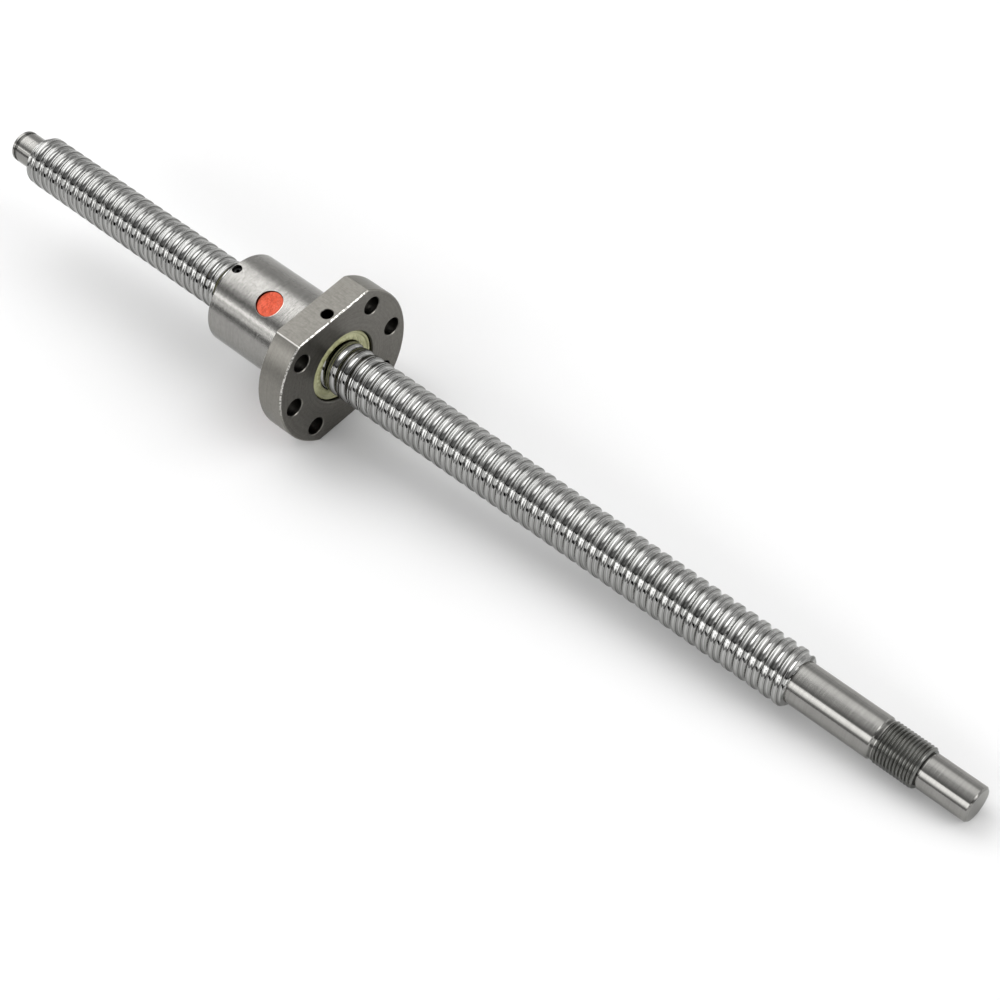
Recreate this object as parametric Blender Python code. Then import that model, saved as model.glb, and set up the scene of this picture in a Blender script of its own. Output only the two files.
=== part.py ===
# Ball screw with a flanged nut: a rolled shaft with an arched ball groove, and a nut that
# runs on three rings of balls, each ring led back over one land by a deflector.
# Metres, +X along the shaft towards the drive end, +Z up, the origin on the axis at mid-length.
import bisect
import math

import bmesh
import bpy
from mathutils import Vector

# Ball thread
LEAD = 0.004                    # travel for one turn, right-handed
BALL_R = 0.00119
BALL_CIRCLE_R = 0.0082          # radius of the ring on which the ball centres run
GROOVE_R = 0.0013               # radius of each half of the arched groove
CONTACT_DEG = 45.0              # where a ball touches its groove
LAND_STEP = 0.0004              # from the ball centres to the shaft's land, and to the nut's
BALL_PLAY = 0.00006             # the modelled balls are smaller by this running clearance

# Shaft, lengths from its left end
SHAFT_LEN = 0.352
LEFT_JOURNAL_LEN = 0.010
LEFT_JOURNAL_R = 0.005
RING_GROOVE_X = 0.0013          # groove for a retaining ring, from the left end
RING_GROOVE_W = 0.0011
RING_GROOVE_DEPTH = 0.00025
BEARING_SEAT_LEN = 0.025
BEARING_SEAT_R = 0.006
LOCKNUT_LEN = 0.013             # seat of the fine locknut thread
LOCKNUT_STEP = 0.0001           # the locknut thread's outside below the bearing seat
DRIVE_LEN = 0.015               # last journal, for the coupling
DRIVE_R = 0.005
RELIEF_W = 0.0008
RELIEF_DEPTH = 0.0004
END_CHAMFER = 0.0005
THREAD_CHAMFER = 0.0008
CREST_ROOM = 0.0006             # the blank that the thread is cut from stands this far off it

# Nut, lengths from its rear face
NUT_REAR = 0.0987               # rear face from the shaft's left end
NUT_LEN = 0.041
BODY_R = 0.014
BODY_CHAMFER = 0.0006
FLANGE_LEN = 0.009
FLANGE_R = 0.024
FLAT_CUT = 0.004                # depth of each of the two flats
FLANGE_CHAMFER = 0.0004
BOLT_EDGE = 0.005               # bolt circle from the flange's rim
BOLT_HOLE_R = 0.00275
BOLT_STEP_DEG = 45.0
OIL_HOLE_R = 0.00175
OIL_HOLE_X = 0.0027             # from the front face
WIPER_SEAT_R = 0.0112
WIPER_SEAT_DEPTH = 0.0045
NOTCH_R = 0.0012                # small notch in the rim of the front wiper's seat
NOTCH_DEG = -38.0

# Wipers and the rear one's set screw
WIPER_FIT = 0.0002              # clearance round a wiper
WIPER_GAP = 0.0002              # between its lip and the shaft's land
WIPER_LEN = 0.0032
WIPER_SINK = 0.0008             # wiper's face below the nut's face
WIPER_LIP = 0.0006
SCREW_HOLE_R = 0.00145
SCREW_FIT = 0.00015
SCREW_X = 0.00185               # from the rear face
SCREW_DEG = 94.0
SCREW_LEN = 0.0014
SCREW_SINK = 0.0011             # screw's head below the nut's skin
SCREW_SOCKET_R = 0.0007

# Ball circuits and their deflectors
CIRCUITS = 3
RETURN_X = 0.0179               # middle deflector from the rear face
RETURN_DEG = 106.0
RETURN_STEP_DEG = 120.0
STRINGS_PER_CIRCUIT = 3
LAND_CLEAR = 0.00021            # between a crossing ball and the shaft's land
POCKET_R = 0.0041
PLUG_FIT = 0.00015
PLUG_GAP = 0.00055              # from the shaft's land to the deflector's underside
CAP_SINK = 0.0007               # the cap's face below the nut's skin
CAP_LEN = 0.0006
CAP_GAP = 0.0002
RUN_IN = 0.0007                 # the deflector's channel goes this far past both ends of the crossing

# Mesh counts
SHAFT_SIDES = 10
TAP_SIDES = 12
ROUND_SIDES = 24
NUT_SIDES = 40
HOLE_SIDES = 12
POCKET_SIDES = 20
SMALL_SIDES = 10
BALL_SIDES = 6
BALL_RINGS = (-60.0, 0.0, 60.0)
GROOVE_STEPS = 240              # points of a circuit's path along the groove
CROSSING_STEPS = 80             # and over the land
CHANNEL_STEPS = 14
SOCKET_SIDES = 6
MID_SHARE = 0.66                # where the groove's profile has its middle point
CROSSING_SHARE = 0.94           # part of the pocket's half width that a crossing takes up
PAST = 0.001                    # a cutter runs this far past what it cuts
MERGE = 2e-7                    # points closer than this are one
SHARP_DEG = 35.0                # edges steeper than this stay sharp
BALL_SHARP_DEG = 60.0

# Finishes
WIPER_COLOR = (0.60, 0.60, 0.36)
CAP_COLOR = (0.80, 0.12, 0.07)
PLASTIC_ROUGHNESS = 0.5
STEEL_BLUE = 0.97               # blue of a steel's grey against its red and green

HALF_LEN = SHAFT_LEN / 2
THREAD_X0 = LEFT_JOURNAL_LEN - HALF_LEN
LOCKNUT_X1 = HALF_LEN - DRIVE_LEN
SEAT_X1 = LOCKNUT_X1 - LOCKNUT_LEN
THREAD_X1 = SEAT_X1 - BEARING_SEAT_LEN
SHAFT_LAND_R = BALL_CIRCLE_R - LAND_STEP
NUT_LAND_R = BALL_CIRCLE_R + LAND_STEP
NUT_X0 = NUT_REAR - HALF_LEN
NUT_X1 = NUT_X0 + NUT_LEN
FLANGE_X0 = NUT_X1 - FLANGE_LEN
FLAT_Z = FLANGE_R - FLAT_CUT
BOLT_CIRCLE_R = FLANGE_R - BOLT_EDGE
PLUG_R = POCKET_R - PLUG_FIT
PLUG_TOP = BODY_R - CAP_SINK - CAP_LEN - CAP_GAP
RETURN_ANGLE = math.radians(RETURN_DEG)
# Half of the arc over which the balls cross the land, from the pocket's width.
CROSSING_HALF = math.asin(CROSSING_SHARE * POCKET_R / BALL_CIRCLE_R)
LIFT = BALL_R - LAND_STEP + LAND_CLEAR
# The groove's centre line is at x = GROOVE_X + LEAD * angle / one turn.
GROOVE_X = NUT_X0 + RETURN_X - LEAD / 2 - LEAD * RETURN_ANGLE / math.tau


def clear_scene():
    for ob in list(bpy.data.objects):
        bpy.data.objects.remove(ob, do_unlink=True)


def material(name, color, metallic, roughness):
    mat = bpy.data.materials.new(name)
    mat.use_nodes = True
    bsdf = mat.node_tree.nodes["Principled BSDF"]
    bsdf.inputs["Base Color"].default_value = (*color, 1.0)
    bsdf.inputs["Metallic"].default_value = metallic
    bsdf.inputs["Roughness"].default_value = roughness
    mat.diffuse_color = (*color, 1.0)
    return mat


def mesh_object(name, verts, faces):
    mesh = bpy.data.meshes.new(name)
    mesh.from_pydata([tuple(v) for v in verts], [], faces)
    bm = bmesh.new()
    bm.from_mesh(mesh)
    bmesh.ops.recalc_face_normals(bm, faces=bm.faces)
    bm.to_mesh(mesh)
    bm.free()
    ob = bpy.data.objects.new(name, mesh)
    bpy.context.scene.collection.objects.link(ob)
    return ob


def on_axis(x, radius, angle):
    return Vector((x, radius * math.cos(angle), radius * math.sin(angle)))


def lathe(name, profile, sides):
    """A closed solid of revolution about X. The profile starts and ends on the axis, or is a ring's loop."""
    verts, rows = [], []
    for x, r in profile:
        if r < MERGE:
            rows.append([len(verts)] * sides)
            verts.append(Vector((x, 0.0, 0.0)))
            continue
        rows.append([len(verts) + k for k in range(sides)])
        verts.extend(on_axis(x, r, math.tau * (k + 0.5) / sides) for k in range(sides))
    ring = profile[0][1] > MERGE
    pairs = list(zip(rows, rows[1:])) + ([(rows[-1], rows[0])] if ring else [])
    faces = []
    for a, b in pairs:
        for k in range(sides):
            n = (k + 1) % sides
            loop = []
            for v in (a[k], a[n], b[n], b[k]):
                if v not in loop:
                    loop.append(v)
            faces.append(loop)
    return mesh_object(name, verts, faces)


def cylinder(name, start, axis, radius, length, sides):
    """A plain cylinder from start along axis."""
    turn = Vector((0, 0, 1)).rotation_difference(Vector(axis)).to_matrix()
    verts, faces = [], []
    for h in (0.0, length):
        for k in range(sides):
            a = math.tau * (k + 0.5) / sides
            verts.append(Vector(start) + turn @ Vector((radius * math.cos(a), radius * math.sin(a), h)))
    for k in range(sides):
        n = (k + 1) % sides
        faces.append((k, n, sides + n, sides + k))
    faces.append(tuple(reversed(range(sides))))
    faces.append(tuple(range(sides, 2 * sides)))
    return mesh_object(name, verts, faces)


def groove_profile(land_r, outward):
    """One lead of the thread as (x, r), from the middle of a groove to the middle of the next.

    The groove is an arch of two arcs whose centres sit past the ball's centre, so that a ball
    touches each arc at the contact angle. outward gives the nut's side of it."""
    side = -1.0 if outward else 1.0
    shift = (GROOVE_R - BALL_R) * math.sin(math.radians(CONTACT_DEG))
    centre = BALL_CIRCLE_R + side * shift
    rise = abs(centre - land_r)
    half = math.sqrt(GROOVE_R ** 2 - rise ** 2) - shift
    def depth(x):
        return centre - side * math.sqrt(GROOVE_R ** 2 - (x + shift) ** 2)
    mid = half * MID_SHARE
    return [(0.0, depth(0.0)), (mid, depth(mid)), (half, land_r),
            (LEAD - half, land_r), (LEAD - mid, depth(mid)), (LEAD, depth(0.0))]


def threaded_rod(name, profile, sides, x_low, x_high, around=False):
    """A closed rod with the helical profile on it. around puts the flats, not the corners, on the radius."""
    grow = 1.0 / math.cos(math.pi / sides) if around else 1.0
    first = math.floor((x_low - GROOVE_X) / LEAD) - 1
    turns = math.ceil((x_high - x_low) / LEAD) + 2
    per = len(profile) - 1
    steps = turns * sides
    verts, faces = [], []
    for i in range(steps + sides + 1):
        a = math.tau * i / sides
        x = GROOVE_X + LEAD * (first + i / sides)
        if i <= steps:
            verts.extend(on_axis(x + px, pr * grow, a) for px, pr in profile[:-1])
        else:
            verts.append(on_axis(x, profile[0][1] * grow, a))
    def at(i, j):
        if j == per:
            i, j = i + sides, 0
        return i * per + j if i <= steps else (steps + 1) * per + (i - steps - 1)
    for i in range(steps):
        for j in range(per):
            faces.append((at(i, j), at(i + 1, j), at(i + 1, j + 1), at(i, j + 1)))
    ends = []
    for i0, x in ((0, GROOVE_X + LEAD * (first + 0.5)), (steps, GROOVE_X + LEAD * (first + turns + 0.5))):
        loop = [at(i0 + i, 0) for i in range(sides + 1)] + [at(i0, j) for j in range(per - 1, 0, -1)]
        ends.append((len(verts), loop))
        verts.append(Vector((x, 0.0, 0.0)))
    for tip, loop in ends:
        for k, v in enumerate(loop):
            faces.append((tip, v, loop[(k + 1) % len(loop)]))
    return mesh_object(name, verts, faces)


def combine(ob, cutter, operation):
    """Apply one exact Boolean to ob and remove the cutter."""
    cutter.hide_render = True
    cutter.display_type = 'WIRE'
    mod = ob.modifiers.new(operation.lower(), 'BOOLEAN')
    mod.operation = operation
    mod.solver = 'EXACT'
    mod.object = cutter
    bpy.context.view_layer.update()
    seen = ob.evaluated_get(bpy.context.evaluated_depsgraph_get())
    mesh = bpy.data.meshes.new_from_object(seen)
    old = ob.data
    ob.modifiers.clear()
    ob.data = mesh
    bpy.data.meshes.remove(old)
    bpy.data.objects.remove(cutter, do_unlink=True)
    return ob


def finish(ob, mat, angle=SHARP_DEG):
    bm = bmesh.new()
    bm.from_mesh(ob.data)
    bmesh.ops.remove_doubles(bm, verts=bm.verts, dist=MERGE)
    bmesh.ops.dissolve_degenerate(bm, edges=bm.edges, dist=MERGE)
    bmesh.ops.recalc_face_normals(bm, faces=bm.faces)
    bm.to_mesh(ob.data)
    bm.free()
    ob.data.name = ob.name
    ob.data.materials.clear()
    ob.data.materials.append(mat)
    ob.data.shade_smooth()
    ob.data.set_sharp_from_angle(angle=math.radians(angle))
    return ob


def screw_shaft():
    rod = threaded_rod("screw_shaft", groove_profile(SHAFT_LAND_R, False), SHAFT_SIDES,
                       -HALF_LEN - LEAD, HALF_LEN + LEAD)
    left, right = -HALF_LEN, HALF_LEN
    top = SHAFT_LAND_R + CREST_ROOM
    groove_x0 = left + RING_GROOVE_X
    groove_x1 = groove_x0 + RING_GROOVE_W
    seat_relief = BEARING_SEAT_R - RELIEF_DEPTH
    drive_relief = DRIVE_R - RELIEF_DEPTH
    locknut_r = BEARING_SEAT_R - LOCKNUT_STEP
    outline = [
        (left, 0.0), (left, LEFT_JOURNAL_R - END_CHAMFER), (left + END_CHAMFER, LEFT_JOURNAL_R),
        (groove_x0, LEFT_JOURNAL_R), (groove_x0, LEFT_JOURNAL_R - RING_GROOVE_DEPTH),
        (groove_x1, LEFT_JOURNAL_R - RING_GROOVE_DEPTH), (groove_x1, LEFT_JOURNAL_R),
        (THREAD_X0, LEFT_JOURNAL_R), (THREAD_X0, SHAFT_LAND_R - THREAD_CHAMFER),
        (THREAD_X0 + top - SHAFT_LAND_R + THREAD_CHAMFER, top),
        (THREAD_X1 - top + SHAFT_LAND_R - THREAD_CHAMFER, top),
        (THREAD_X1, SHAFT_LAND_R - THREAD_CHAMFER), (THREAD_X1, BEARING_SEAT_R),
        (SEAT_X1, BEARING_SEAT_R), (SEAT_X1, seat_relief), (SEAT_X1 + RELIEF_W, seat_relief),
        (SEAT_X1 + RELIEF_W + locknut_r - seat_relief, locknut_r),
        (LOCKNUT_X1 - END_CHAMFER, locknut_r), (LOCKNUT_X1, locknut_r - END_CHAMFER),
        (LOCKNUT_X1, drive_relief), (LOCKNUT_X1 + RELIEF_W, drive_relief),
        (LOCKNUT_X1 + RELIEF_W, DRIVE_R), (right - END_CHAMFER, DRIVE_R),
        (right, DRIVE_R - END_CHAMFER), (right, 0.0)]
    return combine(rod, lathe("outline_cutter", outline, ROUND_SIDES), 'INTERSECT')


def nut_body():
    c, f = BODY_CHAMFER, FLANGE_CHAMFER
    ob = lathe("nut_body", [
        (NUT_X0, 0.0), (NUT_X0, BODY_R - c), (NUT_X0 + c, BODY_R), (FLANGE_X0, BODY_R),
        (FLANGE_X0, FLANGE_R - f), (FLANGE_X0 + f, FLANGE_R), (NUT_X1 - f, FLANGE_R),
        (NUT_X1, FLANGE_R - f), (NUT_X1, 0.0)], NUT_SIDES)
    # A bar with the flats' height and their front chamfers keeps what lies between the flats.
    bar = [(NUT_X0 - PAST, FLAT_Z), (NUT_X1 - f, FLAT_Z), (NUT_X1 + PAST, FLAT_Z - f - PAST),
           (NUT_X1 + PAST, PAST + f - FLAT_Z), (NUT_X1 - f, -FLAT_Z), (NUT_X0 - PAST, -FLAT_Z)]
    wide = FLANGE_R + PAST
    verts = [Vector((x, y, z)) for y in (-wide, wide) for x, z in bar]
    n = len(bar)
    faces = [tuple(range(n)), tuple(range(n, 2 * n))]
    faces += [(k, (k + 1) % n, n + (k + 1) % n, n + k) for k in range(n)]
    combine(ob, mesh_object("bar_cutter", verts, faces), 'INTERSECT')
    tap = threaded_rod("tap_cutter", groove_profile(NUT_LAND_R, True), TAP_SIDES,
                       NUT_X0 - LEAD, NUT_X1 + LEAD, around=True)
    combine(ob, tap, 'DIFFERENCE')
    for x in (NUT_X0 - PAST, NUT_X1 - WIPER_SEAT_DEPTH):
        seat = cylinder("seat_cutter", (x, 0, 0), (1, 0, 0), WIPER_SEAT_R, WIPER_SEAT_DEPTH + PAST,
                        ROUND_SIDES)
        combine(ob, seat, 'DIFFERENCE')
    for side in (0.0, 180.0):
        for step in (-1, 0, 1):
            a = math.radians(side + step * BOLT_STEP_DEG)
            hole = cylinder("bolt_cutter", on_axis(FLANGE_X0 - PAST, BOLT_CIRCLE_R, a), (1, 0, 0),
                            BOLT_HOLE_R, FLANGE_LEN + 2 * PAST, HOLE_SIDES)
            combine(ob, hole, 'DIFFERENCE')
    oil = cylinder("oil_cutter", (NUT_X1 - OIL_HOLE_X, 0, WIPER_SEAT_R - PAST), (0, 0, 1), OIL_HOLE_R,
                   FLAT_Z - WIPER_SEAT_R + 2 * PAST, HOLE_SIDES)
    combine(ob, oil, 'DIFFERENCE')
    a = math.radians(SCREW_DEG)
    screw = cylinder("screw_cutter", on_axis(NUT_X0 + SCREW_X, WIPER_SEAT_R - PAST, a), on_axis(0, 1, a),
                     SCREW_HOLE_R, BODY_R - WIPER_SEAT_R + 2 * PAST, HOLE_SIDES)
    combine(ob, screw, 'DIFFERENCE')
    notch = cylinder("notch_cutter", on_axis(NUT_X1 - WIPER_SINK, WIPER_SEAT_R, math.radians(NOTCH_DEG)),
                     (1, 0, 0), NOTCH_R, WIPER_SINK + PAST, HOLE_SIDES)
    combine(ob, notch, 'DIFFERENCE')
    for x, a in returns():
        low = on_axis(x, BALL_CIRCLE_R - POCKET_R / 2, a)
        pocket = cylinder("pocket_cutter", low, on_axis(0, 1, a), POCKET_R, BODY_R, POCKET_SIDES)
        combine(ob, pocket, 'DIFFERENCE')
        combine(ob, channel(circuit_path(x, a)), 'DIFFERENCE')
    return ob


def returns():
    """Place and angle of each deflector, from the rear one to the front one."""
    turn = math.radians(RETURN_STEP_DEG)
    step = LEAD * (1.0 + RETURN_STEP_DEG / 360.0)
    middle = (CIRCUITS - 1) / 2
    return [(NUT_X0 + RETURN_X + step * (k - middle), RETURN_ANGLE + turn * (k - middle))
            for k in range(CIRCUITS)]


def circuit_point(x, angle, t):
    """A point of a circuit's path: t runs 0 to 1 along the groove and 1 to 2 back over the land."""
    if t <= 1.0:
        a = CROSSING_HALF + (math.tau - 2 * CROSSING_HALF) * t
        return on_axis(x - LEAD / 2 + LEAD * a / math.tau, BALL_CIRCLE_R, angle + a)
    u = t - 1.0
    a = math.tau - CROSSING_HALF + 2 * CROSSING_HALF * u
    back = LEAD * (3 * u * u - 2 * u ** 3)
    r = BALL_CIRCLE_R + LIFT * math.sin(math.pi * u)
    return on_axis(x - LEAD / 2 + LEAD * a / math.tau - back, r, angle + a)


def circuit_path(x, angle):
    """The closed path as points with the length run so far."""
    pts = [circuit_point(x, angle, k / GROOVE_STEPS) for k in range(GROOVE_STEPS)]
    pts += [circuit_point(x, angle, 1 + k / CROSSING_STEPS) for k in range(CROSSING_STEPS + 1)]
    run = [0.0]
    for a, b in zip(pts, pts[1:]):
        run.append(run[-1] + (b - a).length)
    return pts, run


def along(path, s):
    """The point at length s of a closed path."""
    pts, run = path
    s = s % run[-1]
    k = bisect.bisect_right(run, s, 1, len(run) - 1)
    f = (s - run[k - 1]) / (run[k] - run[k - 1])
    return pts[k - 1].lerp(pts[k], f)


def station(path, s, radius):
    """Centre, direction and radius of a skin's ring at length s."""
    step = path[1][-1] / GROOVE_STEPS
    way = along(path, s + step / 2) - along(path, s - step / 2)
    return along(path, s), way.normalized(), radius


def sweep(name, stations, sides):
    """A closed skin through (centre, direction, radius) stations, with a point at each end."""
    verts, faces = [], []
    for centre, way, radius in stations[1:-1]:
        out = Vector((0, centre.y, centre.z)).normalized()
        side = way.cross(out).normalized()
        out = side.cross(way).normalized()
        for k in range(sides):
            a = math.tau * k / sides
            verts.append(centre + radius * (math.cos(a) * out + math.sin(a) * side))
    rows = len(stations) - 2
    for i in range(rows - 1):
        for k in range(sides):
            n = (k + 1) % sides
            faces.append((i * sides + k, i * sides + n, (i + 1) * sides + n, (i + 1) * sides + k))
    for row, station in ((0, stations[0]), (rows - 1, stations[-1])):
        tip = len(verts)
        verts.append(station[0])
        for k in range(sides):
            faces.append((tip, row * sides + k, row * sides + (k + 1) % sides))
    return mesh_object(name, verts, faces)


def ball_count(path):
    return int(path[1][-1] / (2 * BALL_R))


def ball_string(name, path, first, count):
    """Neighbouring balls of one circuit, each joined to the next where they touch."""
    pitch = path[1][-1] / ball_count(path)
    radius = BALL_R - BALL_PLAY
    stations = [station(path, (first + 0.5) * pitch - radius, 0.0)]
    for k in range(first, first + count):
        middle = (k + 0.5) * pitch
        for deg in BALL_RINGS:
            a = math.radians(deg)
            stations.append(station(path, middle + radius * math.sin(a), radius * math.cos(a)))
    stations.append(station(path, (first + count - 0.5) * pitch + radius, 0.0))
    return sweep(name, stations, BALL_SIDES)


def channel(path):
    """A cutter around the balls' way over the land, a little past both of its ends."""
    wide = GROOVE_R / math.cos(math.pi / SMALL_SIDES)
    start = path[1][GROOVE_STEPS] - RUN_IN
    step = (path[1][-1] + RUN_IN - start) / CHANNEL_STEPS
    stations = [station(path, start + step * k, wide if 0 < k < CHANNEL_STEPS else 0.0)
                for k in range(CHANNEL_STEPS + 1)]
    return sweep("channel_cutter", stations, SMALL_SIDES)


def deflector(name, x, angle):
    out = on_axis(0, 1, angle)
    low = BALL_CIRCLE_R - POCKET_R / 2
    under_r = SHAFT_LAND_R + PLUG_GAP
    ob = cylinder(name, on_axis(x, low, angle), out, PLUG_R, PLUG_TOP - low, POCKET_SIDES)
    under = cylinder("under_cutter", (x - 2 * PLUG_R, 0, 0), (1, 0, 0), under_r, 4 * PLUG_R, NUT_SIDES)
    combine(ob, under, 'DIFFERENCE')
    return combine(ob, channel(circuit_path(x, angle)), 'DIFFERENCE')


def deflector_cap(name, x, angle):
    return cylinder(name, on_axis(x, PLUG_TOP + CAP_GAP, angle), on_axis(0, 1, angle), PLUG_R, CAP_LEN,
                    POCKET_SIDES)


def wiper(name, face_x, inward):
    """A ring with a thin lip at the shaft, its outer face at face_x and its body on the inward side."""
    bore, outer = SHAFT_LAND_R + WIPER_GAP, WIPER_SEAT_R - WIPER_FIT
    loop = [(0.0, bore), (0.0, outer), (WIPER_LEN, outer), (WIPER_LEN, bore + 2 * WIPER_LIP),
            (WIPER_LIP, bore + 2 * WIPER_LIP), (WIPER_LIP, bore)]
    return lathe(name, [(face_x + inward * x, r) for x, r in loop], ROUND_SIDES)


def wiper_screw(name):
    a = math.radians(SCREW_DEG)
    out = on_axis(0, 1, a)
    top = BODY_R - SCREW_SINK
    ob = cylinder(name, on_axis(NUT_X0 + SCREW_X, top - SCREW_LEN, a), out, SCREW_HOLE_R - SCREW_FIT,
                  SCREW_LEN, SMALL_SIDES)
    socket = cylinder("socket_cutter", on_axis(NUT_X0 + SCREW_X, top - SCREW_LEN / 2, a), out,
                      SCREW_SOCKET_R, SCREW_LEN, SOCKET_SIDES)
    return combine(ob, socket, 'DIFFERENCE')


def steel(name, shade, roughness):
    return material(name, (shade, shade, shade * STEEL_BLUE), 1.0, roughness)


def plastic(name, color):
    return material(name, color, 0.0, PLASTIC_ROUGHNESS)


def build():
    clear_scene()
    finish(screw_shaft(), steel("shaft_steel", 0.62, 0.22))
    finish(nut_body(), steel("nut_steel", 0.42, 0.38))
    finish(wiper("front_wiper", NUT_X1 - WIPER_SINK, -1), plastic("front_wiper_plastic", WIPER_COLOR))
    finish(wiper("rear_wiper", NUT_X0 + WIPER_SINK, 1), plastic("rear_wiper_plastic", WIPER_COLOR))
    finish(wiper_screw("rear_wiper_screw"), steel("wiper_screw_steel", 0.05, 0.5))
    for i, (x, angle) in enumerate(returns(), 1):
        finish(deflector(f"deflector_{i}", x, angle), steel(f"deflector_steel_{i}", 0.35, 0.45))
        finish(deflector_cap(f"deflector_cap_{i}", x, angle), plastic(f"cap_red_{i}", CAP_COLOR))
        path = circuit_path(x, angle)
        marks = [round(ball_count(path) * k / STRINGS_PER_CIRCUIT) for k in range(STRINGS_PER_CIRCUIT + 1)]
        for letter, first, last in zip("abcdef", marks, marks[1:]):
            string = ball_string(f"circuit_{i}_balls_{letter}", path, first, last - first)
            finish(string, steel(f"ball_steel_{i}_{letter}", 0.75, 0.08), BALL_SHARP_DEG)


build()
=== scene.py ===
# Ball screw with a flanged nut: fine surfaces, finishes, floor, light and camera.
# Metres, +X along the shaft towards the drive end, +Z up, the origin on the axis at mid-length.
import math

import bmesh
import bpy
from mathutils import Matrix, Vector


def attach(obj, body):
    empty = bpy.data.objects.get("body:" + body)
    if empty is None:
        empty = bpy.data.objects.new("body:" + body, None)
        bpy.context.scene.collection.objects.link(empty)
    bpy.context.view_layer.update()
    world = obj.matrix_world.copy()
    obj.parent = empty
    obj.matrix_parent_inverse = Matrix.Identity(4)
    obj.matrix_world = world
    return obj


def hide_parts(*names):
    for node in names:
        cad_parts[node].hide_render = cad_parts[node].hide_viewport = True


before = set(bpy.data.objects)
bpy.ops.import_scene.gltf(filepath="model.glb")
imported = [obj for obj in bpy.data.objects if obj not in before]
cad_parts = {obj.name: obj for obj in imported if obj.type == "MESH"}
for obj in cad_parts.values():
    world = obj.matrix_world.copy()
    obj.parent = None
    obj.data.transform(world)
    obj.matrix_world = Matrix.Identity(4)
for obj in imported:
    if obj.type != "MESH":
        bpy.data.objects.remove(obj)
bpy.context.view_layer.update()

# Ball thread
LEAD = 0.004
BALL_R = 0.00119
BALL_CIRCLE_R = 0.0082
GROOVE_R = 0.0013
LAND_STEP = 0.0004
ARCH_SHIFT = (GROOVE_R - BALL_R) * math.sin(math.radians(45.0))
SHAFT_LAND_R = BALL_CIRCLE_R - LAND_STEP
NUT_LAND_R = BALL_CIRCLE_R + LAND_STEP

# Shaft, places along X
SHAFT_X0, SHAFT_X1 = -0.176, 0.176
THREAD_X0, THREAD_X1 = -0.166, 0.123
SEAT_X1 = 0.148
LOCKNUT_X1 = 0.161
LEFT_R, SEAT_R, DRIVE_R = 0.005, 0.006, 0.005
LOCKNUT_R = 0.0059
LOCKNUT_PITCH = 0.001
LOCKNUT_DEPTH = 0.00056
LOCKNUT_ROOT_HALF = 0.00011
LOCKNUT_FLANK = math.radians(60.0)
RELIEF_W = 0.0008
RELIEF_DEPTH = 0.0004
RING_GROOVE_X0, RING_GROOVE_X1 = SHAFT_X0 + 0.0013, SHAFT_X0 + 0.0024
RING_GROOVE_DEPTH = 0.00025
END_CHAMFER = 0.0005
THREAD_CHAMFER = 0.0008
SEAT_CHAMFER = 0.0003
LAND_ROUND = 0.00025
CORE_UNDER = 0.0002
CORE_LAP = 0.0003
FINE_ROUND = 0.00006

# Nut
NUT_X0, NUT_X1 = -0.0773, -0.0363
NUT_STEPS = 128
FLANGE_X0 = -0.0453
BODY_R = 0.014
FLANGE_R = 0.024
FLAT_Z = 0.020
BODY_CHAMFER = 0.0006
FLANGE_CHAMFER = 0.0004
EDGE_BEVEL = 0.00007
BOLT_CIRCLE_R = 0.019
BOLT_HOLE_R = 0.00275
BOLT_RIM = 0.00025
OIL_HOLE_R = 0.00175
OIL_RIM = 0.00015
OIL_HOLE_X = NUT_X1 - 0.0027
SEAT_HOLE_R = 0.0112
SEAT_DEPTH = 0.0045
SEAT_FLARE = 0.0003
WIPER_SINK = 0.0008
WIPER_R = 0.0110
WIPER_BORE_R = 0.0080
WIPER_LEN = 0.0032
WIPER_LIP_W = 0.0006
SCREW_X = NUT_X0 + 0.00185
SCREW_ANGLE = math.radians(94.0)
SCREW_HOLE_R = 0.00145
SCREW_RIM = 0.00012
SCREW_RIM_LEN = 0.0002
SCREW_R = 0.0013
SCREW_SINK = 0.0011
SCREW_LEN = 0.0014
SOCKET_R = 0.0007
SOCKET_DEPTH = 0.0008
NOTCH_R = 0.0012
NOTCH_ANGLE = math.radians(-38.0)
POCKET_R = 0.0041
CAP_R = 0.00395
CAP_TOP = 0.0133
CAP_LEN = 0.0006
CAP_DISH = 0.00006
CAP_ROUND = 0.00018

# Ball returns, one for each circuit
RETURN_X = NUT_X0 + 0.0179
RETURN_ANGLE = math.radians(106.0)
RETURN_STEP = math.tau / 3
RETURN_PITCH = LEAD + LEAD / 3
GROOVE_X = RETURN_X - LEAD / 2 - LEAD * RETURN_ANGLE / math.tau
CROSSING_HALF = math.asin(0.94 * POCKET_R / BALL_CIRCLE_R)
LIFT = BALL_R - LAND_STEP + 0.00021
BALLS = 21
BALL_GAP = 0.00006

# How far a cutter or a hidden end runs past the surface
PAST = 0.001


def returns():
    """Place along X and angle round it of each circuit's return."""
    return [(RETURN_X + k * RETURN_PITCH, RETURN_ANGLE + k * RETURN_STEP) for k in (-1, 0, 1)]


# Nodes

CURVE_TOP = 4.0


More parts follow.
